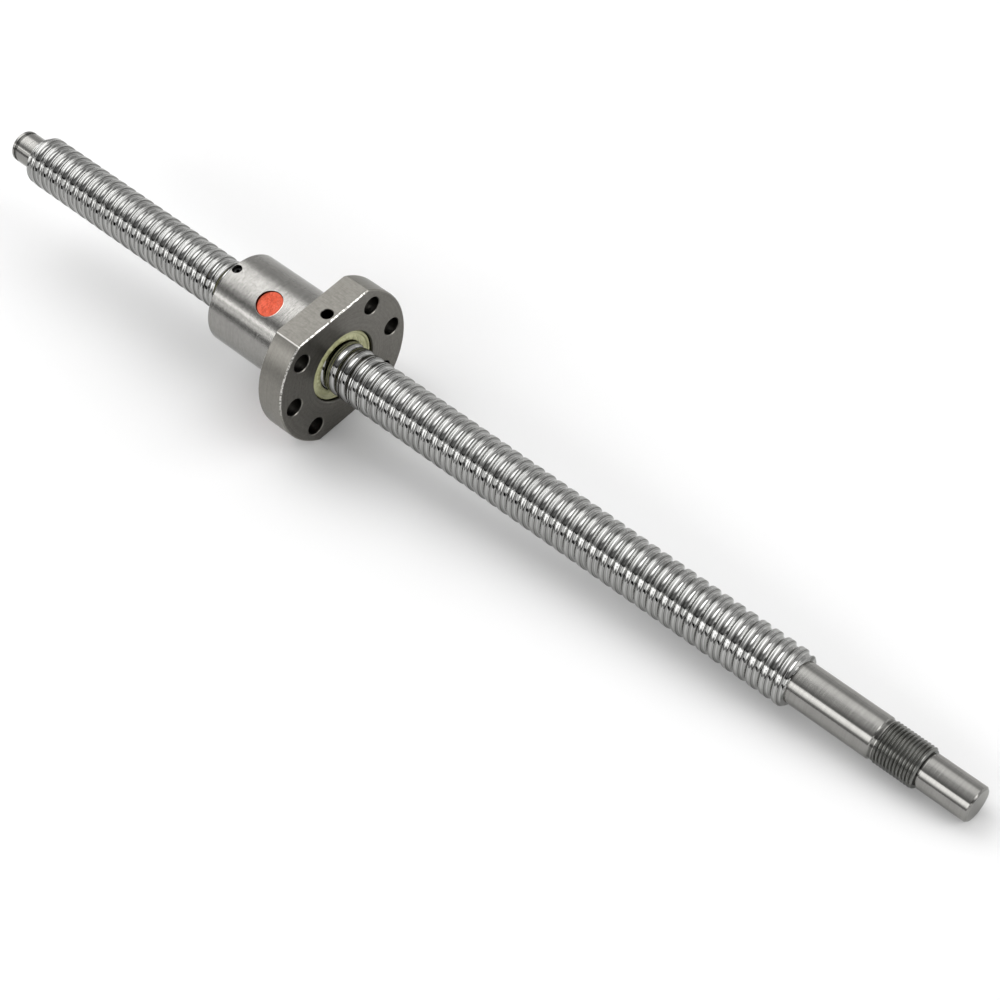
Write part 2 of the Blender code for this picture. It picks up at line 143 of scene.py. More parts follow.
class Value:
    """A node's output. Each operator used on it adds a Math node."""

    def __init__(self, tree, socket):
        self.tree = tree
        self.socket = socket

    def math(self, operation, *others):
        return math_node(self.tree, operation, self, *others)

    def __add__(self, other):
        return self.math('ADD', other)

    def __sub__(self, other):
        return self.math('SUBTRACT', other)

    def __mul__(self, other):
        return self.math('MULTIPLY', other)

    def __truediv__(self, other):
        return self.math('DIVIDE', other)

    def __rsub__(self, other):
        return math_node(self.tree, 'SUBTRACT', other, self)

    __radd__ = __add__
    __rmul__ = __mul__

    def sqrt(self):
        return self.math('SQRT')

    def abs(self):
        return self.math('ABSOLUTE')

    def clamp(self):
        return self.math('MAXIMUM', 0.0).math('MINIMUM', 1.0)

    def either(self, other):
        return self.math('MAXIMUM', other)

    def ramp(self, low, high):
        """0 at low, 1 at high, smooth between them."""
        t = ((self - low) / (high - low)).clamp()
        return t * t * (3.0 - 2.0 * t)

    def band(self, low, high, soft):
        """1 between low and high, 0 outside them, with soft edges."""
        return self.ramp(low - soft, low + soft) * (1.0 - self.ramp(high - soft, high + soft))

    def curve(self, stops):
        """Straight lines between stops (value, result): values from -1 to 1, results from 0 to CURVE_TOP."""
        node = self.tree.nodes.new('ShaderNodeValToRGB')
        plug(self.tree, node.inputs["Fac"], 0.5 + 0.5 * self)
        elements = node.color_ramp.elements
        while len(elements) < len(stops):
            elements.new(0.5)
        for element, (at, result) in zip(elements, stops):
            element.position = 0.5 + 0.5 * at
            share = result / CURVE_TOP
            element.color = (share, share, share, 1.0)
        return Value(self.tree, node.outputs["Color"]) * CURVE_TOP


def plug(tree, socket, value):
    """Links a node's output to the socket, or sets the socket to a plain number or colour."""
    if isinstance(value, Value):
        tree.links.new(value.socket, socket)
    elif isinstance(value, tuple) and socket.type == 'RGBA' and len(value) == 3:
        socket.default_value = (*value, 1.0)
    else:
        socket.default_value = value


def math_node(tree, operation, *values):
    node = tree.nodes.new('ShaderNodeMath')
    node.operation = operation
    for socket, value in zip(node.inputs, values):
        plug(tree, socket, value)
    return Value(tree, node.outputs[0])


def add(tree, kind, values, output=0):
    """One node with its sockets' values or links. Returns one of its outputs."""
    node = tree.nodes.new(kind)
    for name, value in values.items():
        plug(tree, node.inputs[name], value)
    return Value(tree, node.outputs[output])


def split(tree, vector):
    """The three parts of a vector."""
    node = tree.nodes.new('ShaderNodeSeparateXYZ')
    plug(tree, node.inputs[0], vector)
    return [Value(tree, socket) for socket in node.outputs]


def length(a, b):
    return (a * a + b * b).sqrt()


def joined(tree, x, y, z):
    return add(tree, 'ShaderNodeCombineXYZ', {0: x, 1: y, 2: z})


def blend(tree, share, a, b):
    """A colour between a and b."""
    node = tree.nodes.new('ShaderNodeMix')
    node.data_type = 'RGBA'
    plug(tree, node.inputs[0], share)
    plug(tree, node.inputs[6], a)
    plug(tree, node.inputs[7], b)
    return Value(tree, node.outputs[2])


# Meshes

def on_axis(x, radius, angle):
    """The point at this place along X, distance from it and angle round it."""
    return Vector((x, radius * math.cos(angle), radius * math.sin(angle)))


def linked(name, data):
    """A new object with this mesh or camera, in the scene."""
    ob = bpy.data.objects.new(name, data)
    bpy.context.scene.collection.objects.link(ob)
    return ob


def weld(mesh, distance):
    """Joins the points that are this close and turns all faces outwards."""
    bm = bmesh.new()
    bm.from_mesh(mesh)
    bmesh.ops.remove_doubles(bm, verts=bm.verts, dist=distance)
    bmesh.ops.recalc_face_normals(bm, faces=bm.faces)
    bm.to_mesh(mesh)
    bm.free()


def mesh_object(name, verts, faces, edges=()):
    mesh = bpy.data.meshes.new(name)
    mesh.from_pydata([tuple(v) for v in verts], edges, faces)
    if faces:
        weld(mesh, 1e-7)
    return linked(name, mesh)


def lathe_points(profile, sides, place):
    """Points and faces of a turned skin. place(along, radius, angle) puts each point."""
    verts, rows, faces = [], [], []
    for x, r in profile:
        if r < 1e-9:
            rows.append([len(verts)] * sides)
            verts.append(place(x, 0.0, 0.0))
            continue
        rows.append([len(verts) + k for k in range(sides)])
        verts.extend(place(x, r, math.tau * k / sides) for k in range(sides))
    closed = profile[0][1] > 1e-9 and profile[-1][1] > 1e-9
    pairs = list(zip(rows, rows[1:])) + ([(rows[-1], rows[0])] if closed else [])
    for a, b in pairs:
        for k in range(sides):
            n = (k + 1) % sides
            loop = list(dict.fromkeys((a[k], a[n], b[n], b[k])))
            faces.append(loop)
    return verts, faces


def turned(name, profile, sides):
    """A solid turned about X."""
    return mesh_object(name, *lathe_points(profile, sides, on_axis))


def turned_along(name, start, axis, profile, sides):
    """A solid turned about an axis through start: the profile is (distance along it, radius)."""
    turn = Vector((0, 0, 1)).rotation_difference(Vector(axis)).to_matrix()

    def place(along, radius, angle):
        return Vector(start) + turn @ Vector((radius * math.cos(angle), radius * math.sin(angle), along))
    return mesh_object(name, *lathe_points(profile, sides, place))


def rounded(points, size, steps=3):
    """A profile with its inner corners rounded: (x, r) points, each corner cut back by size."""
    out = [points[0]]
    for a, b, c in zip(points, points[1:], points[2:]):
        a, b, c = Vector(a), Vector(b), Vector(c)
        cut = min(size, 0.45 * (b - a).length, 0.45 * (c - b).length)
        p, q = b + (a - b).normalized() * cut, b + (c - b).normalized() * cut
        for k in range(steps + 1):
            t = k / steps
            out.append(tuple(p * (1 - t) ** 2 + b * 2 * t * (1 - t) + q * t * t))
    out.append(points[-1])
    return out


def apply_modifiers(ob):
    """Makes what the modifiers give the object's plain mesh."""
    bpy.context.view_layer.update()
    seen = ob.evaluated_get(bpy.context.evaluated_depsgraph_get())
    mesh = bpy.data.meshes.new_from_object(seen)
    old = ob.data
    ob.modifiers.clear()
    ob.data = mesh
    bpy.data.meshes.remove(old)
    return ob


def combine(ob, cutter, operation):
    """A Boolean with the cutter, which is removed after it."""
    mod = ob.modifiers.new(operation.lower(), 'BOOLEAN')
    mod.operation = operation
    mod.solver = 'EXACT'
    mod.object = cutter
    apply_modifiers(ob)
    bpy.data.objects.remove(cutter, do_unlink=True)
    return ob


def one_object(objects):
    """The objects' meshes in the first object."""
    bm = bmesh.new()
    for ob in objects:
        bm.from_mesh(ob.data)
    bm.to_mesh(objects[0].data)
    bm.free()
    for ob in objects[1:]:
        bpy.data.objects.remove(ob, do_unlink=True)
    return objects[0]


def smooth(ob, angle):
    """Smooth shading between the sharp edges, led by the large faces so that small roundings don't bend it."""
    ob.data.shade_smooth()
    ob.data.set_sharp_from_angle(angle=math.radians(angle))
    mod = ob.modifiers.new("normals", 'WEIGHTED_NORMAL')
    mod.keep_sharp = True
    mod.weight = 100
    return apply_modifiers(ob)


# Geometry Nodes

def geometry_tree(name, inputs):
    """An empty tree with named number inputs, and the values that they give."""
    tree = bpy.data.node_groups.new(name, 'GeometryNodeTree')
    tree.interface.new_socket("Geometry", in_out='INPUT', socket_type='NodeSocketGeometry')
    for label, value in inputs.items():
        kind = 'NodeSocketInt' if isinstance(value, int) else 'NodeSocketFloat'
        tree.interface.new_socket(label, in_out='INPUT', socket_type=kind)
    tree.interface.new_socket("Surface", in_out='INPUT', socket_type='NodeSocketMaterial')
    tree.interface.new_socket("Geometry", in_out='OUTPUT', socket_type='NodeSocketGeometry')
    source = tree.nodes.new('NodeGroupInput')
    return tree, {socket.name: Value(tree, socket) for socket in source.outputs if socket.name}


def end_tree(tree, given, geometry):
    """Makes instances real and gives them the surface's material."""
    real = add(tree, 'GeometryNodeRealizeInstances', {0: geometry})
    done = add(tree, 'GeometryNodeSetMaterial', {"Geometry": real, "Material": given["Surface"]})
    end = tree.nodes.new('NodeGroupOutput')
    plug(tree, end.inputs[0], done)


def grown(ob, tree, inputs, surface):
    """Runs the tree on the object with these inputs and keeps the result as its plain mesh."""
    mod = ob.modifiers.new("shape", 'NODES')
    mod.node_group = tree
    for item in tree.interface.items_tree:
        if item.item_type == 'SOCKET' and item.in_out == 'INPUT':
            if item.name in inputs:
                mod[item.identifier] = inputs[item.name]
            elif item.name == "Surface":
                mod[item.identifier] = surface
    return apply_modifiers(ob)


def empty_object(name):
    return linked(name, bpy.data.meshes.new(name))


def thread_tree(name, inputs, radius):
    """A helical skin between two planes. Each row of a grid is the profile at one angle.

    Points past an end plane are drawn back onto it, and those further out go to the end radius.
    radius(given, off, x) is the skin's radius, off being the distance from the nearest centre line."""
    tree, given = geometry_tree(name, inputs)
    grid = add(tree, 'GeometryNodeMeshGrid', {
        "Size X": 1.0, "Size Y": 1.0,
        "Vertices X": given["Turns"] * given["Steps per turn"] + 1,
        "Vertices Y": given["Profile steps"] + 1})
    place = add(tree, 'GeometryNodeInputPosition', {})
    u, v, _ = split(tree, place)
    turn = given["First turn"] + (u + 0.5) * given["Turns"]
    across = v + given["Crowding"] * (v * (2 * math.tau)).math('SINE') / (2 * math.tau)
    x = given["Start"] + given["Lead"] * (turn + across)
    held = x.math('MAXIMUM', given["Low end"]).math('MINIMUM', given["High end"])
    off = (held - given["Start"]) / given["Lead"] - turn
    off = ((off - off.math('ROUND')) * given["Lead"]).abs()
    r = radius(given, off, held)
    beyond = (x - held).abs().math('GREATER_THAN', given["End strip"])
    r = r * (1.0 - beyond) + given["End radius"] * beyond
    angle = turn * math.tau
    moved = joined(tree, held, r * angle.math('COSINE'), r * angle.math('SINE'))
    skin = add(tree, 'GeometryNodeSetPosition', {"Geometry": grid, "Position": moved})
    skin = add(tree, 'GeometryNodeMergeByDistance', {"Geometry": skin, "Distance": 1e-6})
    skin = add(tree, 'GeometryNodeSetShadeSmooth', {"Geometry": skin})
    end_tree(tree, given, skin)
    return tree


def thread_inputs(low, high, start, lead, per_turn, profile_steps, crowding, end_radius, more):
    """The inputs of thread_tree. The end strip is a little wider than the profile's widest step."""
    spread = (1.0 + crowding) * lead / profile_steps
    strip = 1.05 * spread
    first = math.floor((low - strip - start) / lead - 0.5)
    last = math.ceil((high + strip - start) / lead + 0.5)
    return {"Lead": lead, "Start": start, "Low end": low, "High end": high, "First turn": float(first),
            "Turns": last - first, "Steps per turn": per_turn, "Profile steps": profile_steps,
            "Crowding": crowding, "End strip": strip, "End radius": end_radius, **more}


def groove_depth(given, off):
    """How deep the groove's arc lies below its own centre, at this distance from the centre line."""
    reach = off + given["Arch shift"]
    return (given["Groove radius"] * given["Groove radius"] - reach * reach).either(0.0).sqrt()


def end_chamfers(given, r, x):
    room = (x - given["Low end"]).math('MINIMUM', given["High end"] - x)
    return r.math('MINIMUM', given["Land radius"] - given["End chamfer"] + room)


def arch_radius(given, off, x):
    """The shaft's arched groove, its rounded land edges and the thread's end chamfers."""
    arch = given["Ball circle radius"] + given["Arch shift"] - groove_depth(given, off)
    r = arch.math('SMOOTH_MIN', given["Land radius"], given["Edge round"])
    return end_chamfers(given, r, x)


def bore_radius(given, off, x):
    """The nut's side of the same groove."""
    arch = given["Ball circle radius"] - given["Arch shift"] + groove_depth(given, off)
    return arch.either(given["Land radius"])


def vee_radius(given, off, x):
    """A fine vee thread with flat crests, flat roots and chamfered ends."""
    rise = (off - given["Root half"]) * given["Flank slope"]
    r = (given["Root radius"] + rise).either(given["Root radius"])
    return end_chamfers(given, r.math('MINIMUM', given["Land radius"]), x)


# Finishes

# Steel that reflects less at a grazing angle, as an oiled or oxidised skin does
EDGE_DARK = {"Metallic": 1.0, "Specular Tint": (0.8, 0.8, 0.79)}

# Painted shade in the shaft's narrow grooves, which are ranges of X
GROOVE_SHADE = (0.04, 0.04, 0.037)
GROOVE_SHADE_SOFT = 0.00008
NARROW_GROOVES = ((RING_GROOVE_X0, RING_GROOVE_X1), (SEAT_X1 + 0.0001, SEAT_X1 + RELIEF_W),
                  (LOCKNUT_X1, LOCKNUT_X1 + RELIEF_W / 2))

# Places across the ball thread, in leads from the middle of the groove
LAND_EDGE = 0.292
LAND_CROWN = 0.28
CROWN_W = 0.22
SEAM = 0.02
STREAKS_A_LEAD = 6.5


def new_material(name):
    mat = bpy.data.materials.new(name)
    mat.use_nodes = True
    mat.node_tree.nodes.clear()
    return mat, mat.node_tree


def new_finish(name):
    """A material with an empty tree, and the place on the object in the object's own frame."""
    mat, tree = new_material(name)
    return mat, tree, add(tree, 'ShaderNodeTexCoord', {}, "Object")


def end_material(tree, constants, values, bump=None):
    """The Principled shader: plain constants first, then what changes over the surface."""
    shader = tree.nodes.new('ShaderNodeBsdfPrincipled')
    for name, value in {**constants, **values}.items():
        plug(tree, shader.inputs[name], value)
    if bump is not None:
        height, distance, strength = bump
        normal = add(tree, 'ShaderNodeBump', {"Height": height, "Distance": distance, "Strength": strength})
        plug(tree, shader.inputs["Normal"], normal)
    end = tree.nodes.new('ShaderNodeOutputMaterial')
    tree.links.new(shader.outputs[0], end.inputs["Surface"])


def noise(tree, vector, scale, detail=2.0, roughness=0.5):
    return add(tree, 'ShaderNodeTexNoise', {
        "Vector": vector, "Scale": scale, "Detail": detail, "Roughness": roughness})


def marks(tree, x, y, z, detail, roughness=0.5):
    """Noise in coordinates that were stretched already, so that it forms lines."""
    return noise(tree, joined(tree, x, y, z), 1.0, detail, roughness)


def polished_steel(name, light, dark, rough, rough_spread, line_depth):
    """Steel ground in the lathe: fine lines round the axis, a faint cloudy tone, painted shade in narrow
    grooves.
    """
    mat, tree, place = new_finish(name)
    x, y, z = split(tree, place)
    lines = marks(tree, x * 9000.0, y * 60.0, z * 60.0, 3.0, 0.6)
    wide_lines = marks(tree, x * 2200.0, y * 25.0, z * 25.0, 2.0)
    cloud = noise(tree, place, 180.0, 3.0)
    tone = (0.5 * wide_lines + 0.5 * cloud).ramp(0.3, 0.7)
    color = blend(tree, tone, dark, light)
    # Painted shade: the narrow grooves are darkened in the colour
    for low, high in NARROW_GROOVES:
        color = blend(tree, x.band(low, high, GROOVE_SHADE_SOFT) * 0.7, color, GROOVE_SHADE)
    end_material(tree, EDGE_DARK, {
        "Base Color": color,
        "Roughness": rough + rough_spread * (lines - 0.5) + 0.5 * rough_spread * (cloud - 0.5)},
        (lines, line_depth, 1.0))
    return mat


def thread_steel():
    """Rolled and polished thread: painted shade as dark lines at the land edges and the groove bottom, and
    lines that follow the helix.
    """
    mat, tree, place = new_finish("thread_polished_steel")
    x, y, z = split(tree, place)
    turn = (x - GROOVE_X) / LEAD - z.math('ARCTAN2', y) / math.tau
    across = turn - turn.math('ROUND')
    side = across.abs()
    on_land = side.either(LAND_CROWN) * (math.tau / CROWN_W) - math.tau * 0.5 / CROWN_W
    crown = 0.5 + 0.5 * on_land.math('COSINE')
    wide_lines = marks(tree, across * 9.0, x * 9.0, 3.0, 1.0)
    fine_lines = marks(tree, across * 34.0, x * 30.0, 7.0, 2.0, 0.6)
    cloud = noise(tree, place, 160.0, 3.0)
    wave = across * (STREAKS_A_LEAD * math.tau) + (wide_lines - 0.5) * 5.0
    streaks = 0.5 + 0.5 * wave.math('COSINE')
    height = 0.05 * wide_lines + 0.012 * fine_lines + 0.010 * streaks - 0.05 * crown
    tone = (0.3 * fine_lines + 0.35 * cloud + 0.35 * streaks).ramp(0.2, 0.8)
    color = blend(tree, tone, (0.235, 0.235, 0.228), (0.43, 0.43, 0.42))
    # Painted shade: dark lines along the land edges and along the groove's middle
    shoulder_shade = 1.0 - (side - LAND_EDGE).abs().ramp(0.016, 0.045)
    seam_shade = 1.0 - (side - SEAM).abs().ramp(0.004, 0.018)
    color = blend(tree, (0.75 * shoulder_shade + 0.45 * seam_shade).clamp(), color, (0.055, 0.054, 0.050))
    end_material(tree, EDGE_DARK, {
        "Base Color": color,
        "Roughness": 0.055 + 0.06 * (fine_lines - 0.5) + 0.05 * (cloud - 0.5)}, (height, 0.001, 1.0))
    return mat


def turning_lines(tree, x, y, z, r, nx, on_flat):
    """Fine tool marks, round the axis on skin and faces and straight on the flats, and the faces' share."""
    on_face = nx.abs().ramp(0.8, 0.95)
    round_lines = marks(tree, x * 5200.0, y * 110.0, z * 110.0, 3.0, 0.6)
    face_lines = marks(tree, r * 4200.0, y * 60.0, z * 60.0, 3.0, 0.6)
    flat_lines = marks(tree, x * 300.0, y * 3600.0, z * 60.0, 3.0, 0.6)
    lines = round_lines * (1.0 - on_face) + face_lines * on_face
    return lines * (1.0 - on_flat) + flat_lines * on_flat, on_face


def edge_highlights(tree, place, y, z, r, nx):
    """The shares of a painted highlight and of dark nicks in it, on the upper outer chamfers and the flats'
    corners on the near side.
    """
    near_round = r.ramp(FLANGE_R - 0.0006, FLANGE_R - 0.0005)
    near_flat = z.abs().ramp(FLAT_Z - 0.0006, FLAT_Z - 0.0005)
    on_chamfer = nx.abs().band(0.45, 0.93, 0.05) * near_round.either(near_flat)
    on_chamfer = on_chamfer * z.ramp(-0.004, 0.010) * (1.0 - y.ramp(0.011, 0.0135))
    nicks = noise(tree, place, 2000.0, 2.0).ramp(0.36, 0.56)
    corner = r.ramp(FLANGE_R - 0.00016, FLANGE_R - 0.00010) * z.abs().ramp(FLAT_Z - 0.00016, FLAT_Z - 0.00010)
    corner = corner * (1.0 - y.ramp(-0.001, 0.001))
    return (on_chamfer * nicks + 0.6 * corner).clamp(), on_chamfer * (1.0 - nicks) * 0.6


def pocket_rim_highlights(x, y, z):
    """A painted highlight on the pockets' rims, on their lower side only."""
    rim_highlights = 0.0
    for px, a in returns():
        side = y * -math.sin(a) + z * math.cos(a)
        reach = length(x - px, side)
        near = (y * math.cos(a) + z * math.sin(a)).ramp(0.0, 0.001)
        lower_side = (x - px + side).ramp(-0.001, 0.004)
        rim_highlights = rim_highlights + (1.0 - (reach - POCKET_R).abs().ramp(0.00008, 0.00022)) * near * lower_side
    return rim_highlights.clamp()


def hole_shade(x, y, z, r, on_skin, on_flange):
    """The share of painted shade: 1 inside the bolt holes, the oil hole and the body's holes, a little less in
    the wiper seats.
    """
    in_wall = (1.0 - on_skin) * r.ramp(SEAT_HOLE_R + 0.0002, SEAT_HOLE_R + 0.0004)
    in_wall = in_wall * x.ramp(NUT_X0 + BODY_CHAMFER, NUT_X0 + BODY_CHAMFER + 0.00004) * (1.0 - on_flange)
    in_seat = 1.0 - r.ramp(SEAT_HOLE_R + 0.0001, SEAT_HOLE_R + 0.0003)
    slant = BOLT_CIRCLE_R * math.sqrt(0.5)
    side_bolt = length(y.abs() - BOLT_CIRCLE_R, z)
    slant_bolt = length(y.abs() - slant, z.abs() - slant)
    in_bolt = 1.0 - side_bolt.math('MINIMUM', slant_bolt).ramp(BOLT_HOLE_R + 0.00003, BOLT_HOLE_R + 0.00010)
    in_oil = 1.0 - length(x - OIL_HOLE_X, y).ramp(OIL_HOLE_R + 0.00012, OIL_HOLE_R + 0.00020)
    return in_bolt.either(in_oil).either(in_seat * 0.8).either(in_wall)


def nut_steel():
    """Ground and turned steel, a little darker on the flange, with painted highlights on edges and pocket rims
    and painted shade in the holes.
    """
    mat, tree, place = new_finish("nut_ground_steel")
    x, y, z = split(tree, place)
    r = length(y, z)
    nx, _, nz = split(tree, add(tree, 'ShaderNodeTexCoord', {}, "Normal"))
    on_flat = nz.abs().ramp(0.97, 0.99) * z.abs().ramp(FLAT_Z - 0.0006, FLAT_Z - 0.0003)
    lines, on_face = turning_lines(tree, x, y, z, r, nx, on_flat)
    cloud = noise(tree, place, 95.0, 4.0, 0.6)
    blot = noise(tree, place, 1100.0, 3.0, 0.6)
    on_flange = x.ramp(FLANGE_X0 - 0.0001, FLANGE_X0)
    on_skin = r.ramp(BODY_R - 0.00012, BODY_R - 0.00006)
    tone = (0.45 * lines + 0.15 * cloud + 0.4 * blot).ramp(0.30, 0.70)
    body = blend(tree, tone, (0.23, 0.225, 0.214), (0.31, 0.304, 0.290))
    rim = blend(tree, tone, (0.175, 0.168, 0.152), (0.235, 0.227, 0.206))
    face = blend(tree, tone, (0.125, 0.120, 0.108), (0.19, 0.183, 0.167))
    color = blend(tree, on_flange, body, rim)
    color = blend(tree, on_flange * on_face.either(on_flat), color, face)
    edge_highlight, highlight_nicks = edge_highlights(tree, place, y, z, r, nx)
    # Dark nicks along the stretch of chamfer that carries the painted highlight
    color = blend(tree, highlight_nicks * on_flange, color, (0.05, 0.048, 0.043))
    # Painted highlight on the flange's upper chamfers and near corners
    color = blend(tree, edge_highlight * on_flange, color, (0.62, 0.61, 0.58))
    # Painted highlight on the pockets' lower rims
    color = blend(tree, pocket_rim_highlights(x, y, z) * on_skin * 0.8, color, (0.92, 0.74, 0.66))
    # Painted shade inside the holes and the wiper seats
    color = blend(tree, hole_shade(x, y, z, r, on_skin, on_flange) * 0.9, color, (0.035, 0.033, 0.029))
    rough = 0.10 + 0.22 * on_flange + 0.05 * (lines - 0.5) + 0.03 * (blot - 0.5)
    end_material(tree, EDGE_DARK, {"Base Color": color, "Roughness": rough}, (lines, 0.00006, 1.0))
    return mat


def wiper_plastic():
    """Pale yellow-green moulded plastic, darker in patches near the shaft."""
    mat, tree, place = new_finish("wiper_pale_plastic")
    cloud = noise(tree, place, 260.0, 3.0)
    grain = noise(tree, place, 2600.0, 2.0)
    tone = (0.7 * cloud + 0.3 * grain).ramp(0.3, 0.7)
    _, y, z = split(tree, place)
    near_shaft = 1.0 - length(y, z).ramp(WIPER_BORE_R + 0.0003, WIPER_BORE_R + 0.0020)
    # Darker in patches near the shaft
    dark_near_shaft = near_shaft * noise(tree, place, 700.0, 3.0).ramp(0.38, 0.62) * 0.7
    color = blend(tree, tone, (0.37, 0.37, 0.19), (0.51, 0.51, 0.30))
    end_material(tree, {"Metallic": 0.0, "Specular IOR Level": 0.5}, {
        "Base Color": blend(tree, dark_near_shaft, color, (0.15, 0.15, 0.06)),
        "Roughness": 0.34 + 0.2 * (cloud - 0.5)}, (grain, 0.00003, 0.6))
    return mat


def cap_red():
    """Coral red sealing disc: mottled, with short darker strokes."""
    mat, tree, place = new_finish("cap_coral_red")
    x, y, z = split(tree, place)
    strokes = marks(tree, x * 2600.0, y * 1100.0, z * 1100.0, 3.0, 0.65)
    specks = noise(tree, place, 2400.0, 2.0, 0.6)
    cloud = noise(tree, place, 330.0, 2.0)
    color = blend(tree, cloud.ramp(0.3, 0.7), (0.66, 0.085, 0.035), (0.78, 0.13, 0.065))
    color = blend(tree, strokes.ramp(0.48, 0.60) * 0.7, color, (0.45, 0.06, 0.03))
    color = blend(tree, specks.ramp(0.60, 0.72) * 0.45, color, (0.90, 0.30, 0.19))
    end_material(tree, {"Metallic": 0.0, "Specular IOR Level": 0.2}, {
        "Base Color": color, "Roughness": 0.55 + 0.25 * (strokes - 0.5)}, (strokes, 0.00005, 0.7))
    return mat


def dark_steel(name, light, dark, rough):
    """Steel with an even, fine grain."""
    mat, tree, place = new_finish(name)
    grain = noise(tree, place, 3200.0, 3.0, 0.6)
    end_material(tree, {"Metallic": 1.0}, {
        "Base Color": blend(tree, grain.ramp(0.3, 0.7), dark, light),
        "Roughness": rough + 0.15 * (grain - 0.5)}, (grain, 0.00001, 0.8))
    return mat


def ball_steel():
    """Bright steel with a faint haze."""
    mat, tree, place = new_finish("ball_bright_steel")
    haze = noise(tree, place, 900.0, 2.0)
    end_material(tree, {"Metallic": 1.0}, {
        "Base Color": blend(tree, haze, (0.62, 0.62, 0.61), (0.72, 0.72, 0.71)),
        "Roughness": 0.05 + 0.06 * haze})
    return mat


THREAD_STEEL = thread_steel()
JOURNAL_STEEL = polished_steel(
    "journal_ground_steel", (0.28, 0.276, 0.263), (0.235, 0.231, 0.22), 0.11, 0.06, 0.00002)
LOCKNUT_STEEL = polished_steel(
    "locknut_thread_steel", (0.22, 0.22, 0.21), (0.14, 0.14, 0.13), 0.26, 0.16, 0.000005)
NUT_STEEL = nut_steel()
WIPER_PLASTIC = wiper_plastic()
CAP_RED = cap_red()
SCREW_BLACK = dark_steel("screw_black_steel", (0.06, 0.06, 0.06), (0.025, 0.025, 0.025), 0.45)
DEFLECTOR_STEEL = dark_steel("deflector_sintered_steel", (0.36, 0.35, 0.33), (0.24, 0.235, 0.22), 0.5)
BALL_STEEL = ball_steel()


def dress(ob, mat, body, slot, *nodes):
    """Gives a piece its finish and its body, and hides the CAD nodes that it stands for."""
    ob.data.materials.clear()
    ob.data.materials.append(mat)
    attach(ob, body)
    if nodes:
        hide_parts(*nodes)
    return ob


# Shaft

def ball_thread():
    inputs = thread_inputs(THREAD_X0, THREAD_X1, GROOVE_X, LEAD, 52, 22, 0.5, 0.0, {
        "Groove radius": GROOVE_R, "Arch shift": ARCH_SHIFT, "Ball circle radius": BALL_CIRCLE_R,
        "Land radius": SHAFT_LAND_R, "Edge round": LAND_ROUND, "End chamfer": THREAD_CHAMFER})
    tree = thread_tree("ball_thread", inputs, arch_radius)
    ob = grown(empty_object("ball_thread"), tree, inputs, THREAD_STEEL)
    return dress(ob, THREAD_STEEL, "screw", "shaft_steel", "screw_shaft")


def locknut_thread():
    low, high = SEAT_X1 + RELIEF_W, LOCKNUT_X1
    inputs = thread_inputs(low, high, low, LOCKNUT_PITCH, 72, 12, 0.0, 0.0, {
        "Root radius": LOCKNUT_R - LOCKNUT_DEPTH, "Root half": LOCKNUT_ROOT_HALF,
        "Flank slope": math.tan(LOCKNUT_FLANK),
        "Land radius": LOCKNUT_R, "End chamfer": END_CHAMFER})
    tree = thread_tree("locknut_thread", inputs, vee_radius)
    ob = grown(empty_object("locknut_thread"), tree, inputs, LOCKNUT_STEEL)
    return dress(smooth(ob, 35.0), LOCKNUT_STEEL, "screw", "shaft_steel")


def journals():
    """The plain ends. Inside the locknut thread the right one goes on as a core, out of sight."""
    c = END_CHAMFER
    inner = THREAD_X0 + PAST
    low = LEFT_R - RING_GROOVE_DEPTH
    left = turned("left_journal", [(SHAFT_X0, 0.0)] + rounded([
        (SHAFT_X0, 0.001), (SHAFT_X0, LEFT_R - c), (SHAFT_X0 + c, LEFT_R), (RING_GROOVE_X0, LEFT_R),
        (RING_GROOVE_X0, low), (RING_GROOVE_X1, low), (RING_GROOVE_X1, LEFT_R), (inner, LEFT_R)],
        FINE_ROUND) + [(inner, 0.0)], sides=96)
    dress(smooth(left, 35.0), JOURNAL_STEEL, "screw", "shaft_steel")
    inner = THREAD_X1 - PAST
    seat_low = SEAT_R - RELIEF_DEPTH
    drive_low = DRIVE_R - RELIEF_DEPTH
    core = LOCKNUT_R - LOCKNUT_DEPTH - CORE_UNDER
    core_x0, core_x1 = SEAT_X1 + RELIEF_W + CORE_LAP, LOCKNUT_X1 - CORE_LAP
    right = turned("right_journals", [(inner, 0.0)] + rounded([
        (inner, SEAT_R), (SEAT_X1 - SEAT_CHAMFER, SEAT_R), (SEAT_X1, SEAT_R - SEAT_CHAMFER),
        (SEAT_X1, seat_low), (core_x0, seat_low), (core_x0, core), (core_x1, core), (core_x1, drive_low),
        (LOCKNUT_X1 + RELIEF_W, drive_low), (LOCKNUT_X1 + RELIEF_W, DRIVE_R), (SHAFT_X1 - c, DRIVE_R),
        (SHAFT_X1, DRIVE_R - c), (SHAFT_X1, 0.001)], FINE_ROUND) + [(SHAFT_X1, 0.0)], sides=96)
    dress(smooth(right, 35.0), JOURNAL_STEEL, "screw", "shaft_steel")


# Nut

